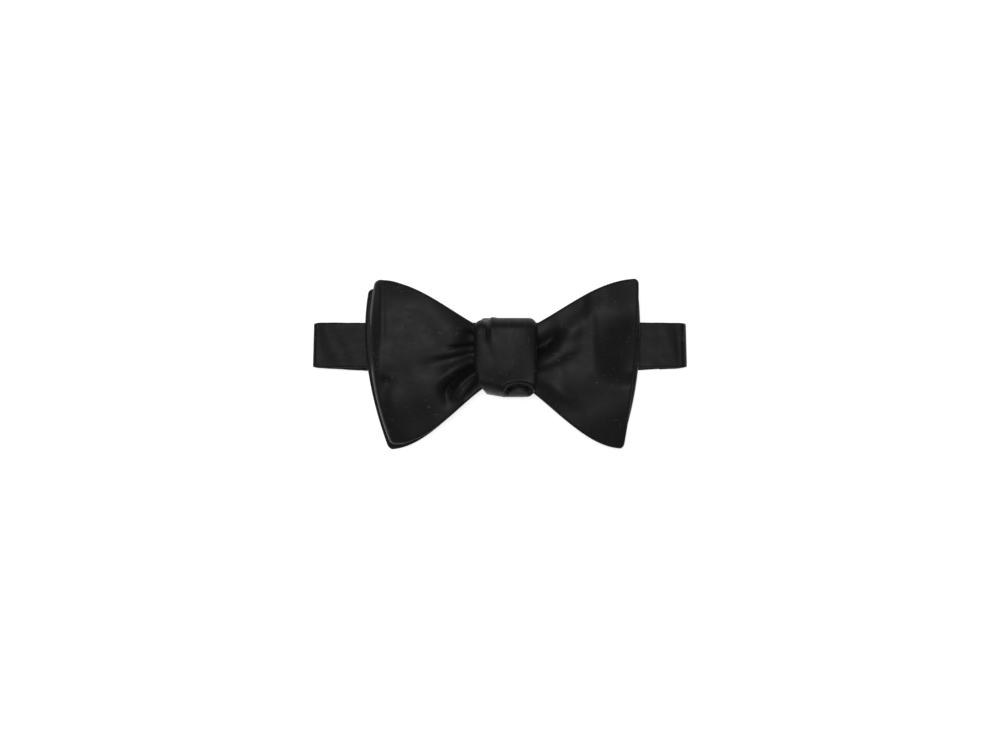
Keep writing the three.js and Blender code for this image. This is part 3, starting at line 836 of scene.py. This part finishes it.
def threads(name, routes, radius):
    """Several lengths of thread as one piece."""
    points, faces, first = [], [], 0
    for route in routes:
        rings = thread_points(route, radius)
        rows, sides = rings.shape[:2]
        points.append(rings.reshape(-1, 3))
        faces += grid_faces(rows, sides, first=first, wrapped=True)
        faces += [list(range(first, first + sides))]
        faces += [list(range(first + (rows - 1) * sides, first + rows * sides))]
        first += rows * sides
    return make_piece(name, np.concatenate(points), faces, THREAD)


def waist_binding():
    """Thread wound round the waist of both blades, one turn beside the next."""
    low, high = node_box("waist_binding_thread")
    radius, turns, steps_per_turn, squareness = 0.2, 6, 44, 0.35
    angle = np.linspace(0, 2 * math.pi * turns, turns * steps_per_turn)
    middle, half = (low + high) / 2, (high - low) / 2 - radius
    y, z = (
        middle[axis] + half[axis] * np.sign(turn) * np.abs(turn) ** squareness
        for axis, turn in ((1, np.cos(angle)), (2, np.sin(angle)))
    )
    x = np.linspace(low[0] + radius, high[0] - radius, len(angle))
    return threads("waist_binding", [np.stack([x, y, z], -1)], radius)


settle(waist_binding(), "bow", "thread", "waist_binding_thread")


def stitch(start, stop, rise):
    """One stitch between its two holes, standing off the cloth in its middle."""
    t = np.linspace(0, 1, 7)[:, None]
    route = np.asarray(start) * (1 - t) + np.asarray(stop) * t
    route[:, 2] += rise * np.sin(math.pi * t[:, 0])
    return route


def closing_stitches():
    """Slanting stitches that close the wrap where its end laps over, behind the knot."""
    low, high = node_box("knot_wrap_stitches")
    under = (low[2] + high[2]) / 2
    spacing, slant, overreach, dip = 1.25, 0.7, 0.5, -0.3
    holes = np.arange(low[0] + 0.2, high[0] - slant, spacing)
    routes = [
        stitch((x, low[1] - overreach, under), (x + slant, high[1] + overreach, under), dip)
        for x in holes
    ]
    return threads("knot_closing_stitches", routes, radius=0.16)


settle(closing_stitches(), "bow", "thread", "knot_wrap_stitches")

# ------------------------------------------------------------------ neckband and straps

LEAN = math.radians(3)  # the folded straps lean this far from the neckband's line


def tube_section(half_width, thick):
    """Points round a turned strap: across it, and up through its thickness, with round edges
    and its seam pressed open along the middle of its back."""
    radius = thick / 2
    flat = half_width - radius
    across = np.linspace(-1, 1, 23) * flat
    turn = np.linspace(math.pi / 2, -math.pi / 2, 9)[1:-1]
    edge = np.stack([flat + radius * np.cos(turn), radius * np.sin(turn)], -1)
    front = np.stack([across, np.full(across.shape, radius)], -1)
    seam = 0.35 * radius * bell(across, 0.9)
    back = np.stack([-across, seam - radius], -1)
    return np.concatenate([front, edge, back, -edge])


def turned_strap(name, place, stations, half_width, thick, material=BAND_SILK):
    """A flat sewn tube: place(station, across, height) says where its points go."""
    section = tube_section(half_width, thick)
    station, y = np.meshgrid(np.asarray(stations, float), section[:, 0], indexing="ij")
    height = np.broadcast_to(section[:, 1], station.shape)
    # Hand pressing leaves the edges slightly uneven.
    y = y * (1 + 0.005 * np.sin(0.23 * station) + 0.004 * np.sin(0.71 * station + 2))
    points = place(station, y, height)
    rows, around = station.shape
    faces = grid_faces(rows, around, wrapped=True)
    faces += [list(range(around)), list(range((rows - 1) * around, rows * around))]
    length = np.pad(np.cumsum(np.linalg.norm(np.diff(section, axis=0), axis=1)), (1, 0))
    cloth = np.stack([station, np.broadcast_to(length, station.shape)], -1)
    return make_piece(name, points, faces, material, cloth)


def steps(start, stop, spacing=2.5):
    return np.linspace(start, stop, max(2, int(abs(stop - start) / spacing) + 1))


class Fold:
    """Where the neckband turns back under itself, along a line that leans."""

    def __init__(self, side, fold_node, strap_node):
        fold_low, fold_high = node_box(fold_node)
        strap_low, strap_high = node_box(strap_node)
        self.side = side
        self.top = (BAND_LOW[2] + BAND_HIGH[2]) / 2
        self.foot = (strap_low[2] + strap_high[2]) / 2
        self.radius = (self.top - self.foot) / 2
        self.axis_z = (self.top + self.foot) / 2
        outermost = fold_high[0] if side > 0 else fold_low[0]
        corner_lead = BAND_WIDTH / 2 * math.sin(LEAN / 2)
        self.x = outermost - side * (self.radius + STRAP / 2 + corner_lead)
        self.out = np.array([side * math.cos(LEAN / 2), math.sin(LEAN / 2)])
        self.line = np.array([-side * math.sin(LEAN / 2), math.cos(LEAN / 2)])
        self.turn = math.pi * self.radius

    def place(self, station, across, height):
        """Points of the flat neckband, with station in X, once it is folded."""
        beyond = (station - self.x) * self.out[0] + across * self.out[1]
        along = (station - self.x) * self.line[0] + across * self.line[1]
        # The pressed end is a trace narrower, and the cloth beside it lifts a little.
        along = along * (1 - 0.035 * bell(beyond - self.turn / 2, self.radius + 0.8))
        slack_lift = 0.45 * (1 + np.sin(0.34 * station + 0.22 * across + 1))
        height = height + slack_lift * smoothstep(beyond, -18, -10) * (1 - smoothstep(beyond, -5, 0))
        angle = np.clip(beyond / self.radius, 0, math.pi)
        swung = self.radius + height
        reach = np.minimum(beyond, 0) + swung * np.sin(angle) + np.minimum(self.turn - beyond, 0)
        z = self.axis_z + swung * np.cos(angle)
        flat = [self.x + self.line[0] * along + self.out[0] * reach]
        flat += [BAND_Y + self.line[1] * along + self.out[1] * reach]
        return np.stack([*flat, z], -1)

    def stations(self, start, length_after):
        """Stations from start out to the fold, close together round it, and back under."""
        before = steps(start, self.x - self.side * 2)
        end = self.x + self.side * (self.turn + length_after)
        after = steps(self.x + self.side * (self.turn + 2.8), end)
        rounding = self.x + self.side * np.linspace(-1.6, self.turn + 1.6, 30)
        return np.concatenate([before, rounding, after])

    def turn_with(self, piece):
        """Bakes the piece's placement into its mesh."""
        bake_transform(piece)


LEFT_FOLD = Fold(-1, "left_band_fold", "hook_strap_cover")
RIGHT_FOLD = Fold(1, "right_band_fold", "adjuster_main_run")
BAND_MEET = 2.0  # the two halves of the neckband meet behind the knot
SEAM = 0.01  # gap where two lengths of strap are joined
HOOK_BAR, EYE_BAR, SLIDER_BAR = 24.0, -111.5, -26.0  # each bar's distance from its fold's line
HOOK_STRAP_END = 22.6
JOIN = 9.0  # the adjuster strap is joined on this far behind the right fold


def strap_frame(fold, lean):
    """From a folded strap's own frame, with x along it, to the tie's frame."""

    def place(x, y, z):
        return np.stack(
            [
                fold.x + x * math.cos(lean) - y * math.sin(lean),
                BAND_Y + x * math.sin(lean) + y * math.cos(lean),
                z,
            ],
            -1,
        )

    return place


ON_HOOK_STRAP = strap_frame(LEFT_FOLD, -LEAN)
ON_ADJUSTER = strap_frame(RIGHT_FOLD, LEAN)


def following(path, frame_place):
    """Stations and a place for a strap whose middle follows a path in its own X and Z."""
    path = np.asarray(path, float)
    length = np.pad(np.cumsum(np.linalg.norm(np.diff(path, axis=0), axis=1)), (1, 0))
    tangent = np.gradient(path, axis=0)
    tangent /= np.linalg.norm(tangent, axis=1, keepdims=True)

    def place(station, across, height):
        x, z, run_x, run_z = (
            np.interp(station, length, values) for values in (*path.T, *tangent.T)
        )
        return frame_place(x - run_z * height, across, z + run_x * height)

    return place, length


def straight(x0, x1, z0, z1=None, spacing=2.5):
    x = steps(x0, x1, spacing)
    return np.stack([x, np.linspace(z0, z0 if z1 is None else z1, len(x))], -1)


def half_turn(x, z, radius, side, upwards):
    """A half turn round a bar, on its side towards +X or -X."""
    angles = np.linspace(-math.pi / 2, math.pi / 2, 15) * (1 if upwards else -1)
    return np.stack([x + side * radius * np.cos(angles), z + radius * np.sin(angles)], -1)


def blend_along(piece, place, start, end, z):
    """Bakes a strap's placement into its mesh. Its two ends along its frame, at start and end and
    height z, are worked out but not used.
    """
    ends = [Vector(place(x, 0, z)) * METRES for x in (start, end)]
    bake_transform(piece)


HALF_WIDTH = BAND_WIDTH / 2

hook_side = turned_strap(
    "neckband_hook_side",
    LEFT_FOLD.place,
    LEFT_FOLD.stations(BAND_MEET - SEAM, HOOK_STRAP_END),
    HALF_WIDTH,
    STRAP,
)
settle(hook_side, None, "silk", "neckband_cover", "left_band_fold", "hook_strap_cover")
LEFT_FOLD.turn_with(hook_side)

adjuster_side = turned_strap(
    "neckband_adjuster_side",
    RIGHT_FOLD.place,
    RIGHT_FOLD.stations(BAND_MEET + SEAM, JOIN),
    HALF_WIDTH,
    STRAP,
)
settle(adjuster_side, None, "silk", "right_band_fold")
RIGHT_FOLD.turn_with(adjuster_side)

MAIN_Z, RETURN_Z = RIGHT_FOLD.foot, STRAP / 2
LOOP_Z = (MAIN_Z + RETURN_Z) / 2
LOOP_RADIUS = (MAIN_Z - RETURN_Z) / 2

main_place, main_stations = following(straight(-JOIN - SEAM, EYE_BAR + 0.3, MAIN_Z), ON_ADJUSTER)
main_run = turned_strap("adjuster_main_strap", main_place, main_stations, HALF_WIDTH, STRAP)
settle(main_run, None, "silk", "adjuster_main_run")
blend_along(
    main_run, ON_ADJUSTER, -JOIN - 4, EYE_BAR + 6, MAIN_Z
)

return_path = np.concatenate(
    [
        straight(EYE_BAR + 0.25, EYE_BAR + 0.05, MAIN_Z),
        half_turn(EYE_BAR, LOOP_Z, LOOP_RADIUS, -1, upwards=False),
        straight(EYE_BAR + 0.5, SLIDER_BAR - 2.6, RETURN_Z),
    ]
)
return_place, return_stations = following(return_path, ON_ADJUSTER)
return_run = turned_strap(
    "adjuster_return_strap", return_place, return_stations, HALF_WIDTH - 0.1, STRAP - 0.04
)
settle(return_run, None, "silk", "adjuster_eye_turn", "adjuster_return_run")
blend_along(
    return_run, ON_ADJUSTER, EYE_BAR + 4, SLIDER_BAR - 6, RETURN_Z
)

KEEPER_THICK, KEEPER_HALF = 0.42, 9.6  # thickness and half width of the tapes

# The slider's end: a flat tape round its middle bar, its upper end sewn down on the strap.
slider_low, slider_high = node_box("slider_strap_end")
slider_mid, slider_turn = (slider_low[2] + slider_high[2]) / 2, 0.78
slider_path = np.concatenate(
    [
        straight(SLIDER_BAR - 5.6, SLIDER_BAR - 2.6, STRAP + 0.24, slider_mid + slider_turn, 0.6),
        straight(SLIDER_BAR - 2.0, SLIDER_BAR + 0.8, slider_mid + slider_turn, spacing=0.7),
        half_turn(SLIDER_BAR + 0.85, slider_mid, slider_turn, 1, upwards=False),
        straight(SLIDER_BAR + 0.8, SLIDER_BAR - 2.5, slider_mid - slider_turn, spacing=0.7),
    ]
)
slider_place, slider_stations = following(slider_path, ON_ADJUSTER)
slider_tape = turned_strap(
    "slider_strap_end_tape", slider_place, slider_stations, KEEPER_HALF, KEEPER_THICK
)
settle(slider_tape, "slider", "silk", "slider_strap_end")

# The hook's end: the same tape round the hook's bar, sewn to both sides of its strap.
hook_z, hook_turn = LEFT_FOLD.foot, 0.82
hook_path = np.concatenate(
    [
        straight(HOOK_BAR - 7, HOOK_BAR - 1.6, hook_z - STRAP / 2 - KEEPER_THICK / 2, spacing=1.2),
        straight(HOOK_BAR - 1.0, HOOK_BAR - 0.2, hook_z - hook_turn, spacing=0.4),
        half_turn(HOOK_BAR, hook_z, hook_turn, 1, upwards=True),
        straight(HOOK_BAR - 0.2, HOOK_BAR - 1.0, hook_z + hook_turn, spacing=0.4),
        straight(HOOK_BAR - 1.6, HOOK_BAR - 4, hook_z + STRAP / 2 + KEEPER_THICK / 2, spacing=1.2),
    ]
)
hook_place, hook_stations = following(hook_path, ON_HOOK_STRAP)
hook_tape = turned_strap("hook_keeper_tape", hook_place, hook_stations, KEEPER_HALF, KEEPER_THICK)
settle(hook_tape, "hook_strap", "silk", "hook_keeper_loop")


def bartack():
    """A dense row of short stitches that holds the hook's tape to its strap."""
    under = hook_z - STRAP / 2 - KEEPER_THICK + 0.03
    x, half_row, half_stitch, slant, dip, count = HOOK_BAR - 5, 6.0, 0.8, 0.15, -0.12, 26
    routes = [
        stitch(
            ON_HOOK_STRAP(x - half_stitch, y, under),
            ON_HOOK_STRAP(x + half_stitch, y + slant, under),
            dip,
        )
        for y in np.linspace(-half_row, half_row, count)
    ]
    return threads("hook_bartack_stitches", routes, radius=0.12)


settle(bartack(), "hook_strap", "thread", "hook_bartack")

CANVAS_THICK, CANVAS_HALF = 0.3, 8.9  # thickness and half width


def strap_canvas(name, path, frame_place, body, node):
    """The strip of canvas that stiffens a strap from inside."""
    place, stations = following(path, frame_place)
    strip = turned_strap(name, place, stations, CANVAS_HALF, CANVAS_THICK, CANVAS)
    settle(strip, body, "interlining", node)


def on_band(x, y, z):
    return np.stack([x, BAND_Y + y, z], -1)


band_canvas_reach = LEFT_FOLD.side * LEFT_FOLD.x - 22  # it stops before the band's slack ends
strap_canvas(
    "neckband_canvas",
    straight(-band_canvas_reach, band_canvas_reach, LEFT_FOLD.top),
    on_band,
    "bow",
    "neckband_interlining",
)
strap_canvas(
    "hook_strap_canvas",
    straight(1.5, HOOK_STRAP_END - 1.5, hook_z),
    ON_HOOK_STRAP,
    "hook_strap",
    "hook_strap_interlining",
)
strap_canvas(
    "adjuster_canvas",
    straight(-JOIN - 2, SLIDER_BAR - 8, MAIN_Z),
    ON_ADJUSTER,
    "adjuster_strap",
    "adjuster_interlining",
)

# ------------------------------------------------------------------ metal fittings


EDGE_ROUND = 0.16  # tumbling rounds the fittings' edges by this


def tumbled_fitting(name, node, body):
    """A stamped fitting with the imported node's shape, and its edges tumbled round."""
    piece = bpy.data.objects.new(name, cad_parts[node].data.copy())
    bpy.context.scene.collection.objects.link(piece)
    merged = bmesh.new()
    merged.from_mesh(piece.data)
    bmesh.ops.remove_doubles(merged, verts=merged.verts, dist=1e-6)
    bmesh.ops.dissolve_limit(merged, angle_limit=0.02, verts=merged.verts, edges=merged.edges)
    merged.to_mesh(piece.data)
    merged.free()
    bevel = piece.modifiers.new("tumbled_edges", "BEVEL")
    bevel.width = EDGE_ROUND * METRES
    bevel.segments = 3
    bevel.limit_method = "ANGLE"
    bevel.angle_limit = math.radians(40)
    piece.modifiers.new("flat_faces", "WEIGHTED_NORMAL").weight = 100
    shown = piece.evaluated_get(bpy.context.evaluated_depsgraph_get())
    piece.data = bpy.data.meshes.new_from_object(shown)
    piece.modifiers.clear()
    piece.data.materials.clear()
    piece.data.materials.append(NICKEL)
    piece.data.polygons.foreach_set("use_smooth", [True] * len(piece.data.polygons))
    settle(piece, body, "fitting_nickel", node)


tumbled_fitting("stamped_hook", "hook", "hook")
tumbled_fitting("stamped_eye", "eye", "eye")
tumbled_fitting("stamped_slider", "slider", "slider")

# ------------------------------------------------------------------ sizes


def plain(box):
    return [[float(value) for value in corner] for corner in box]
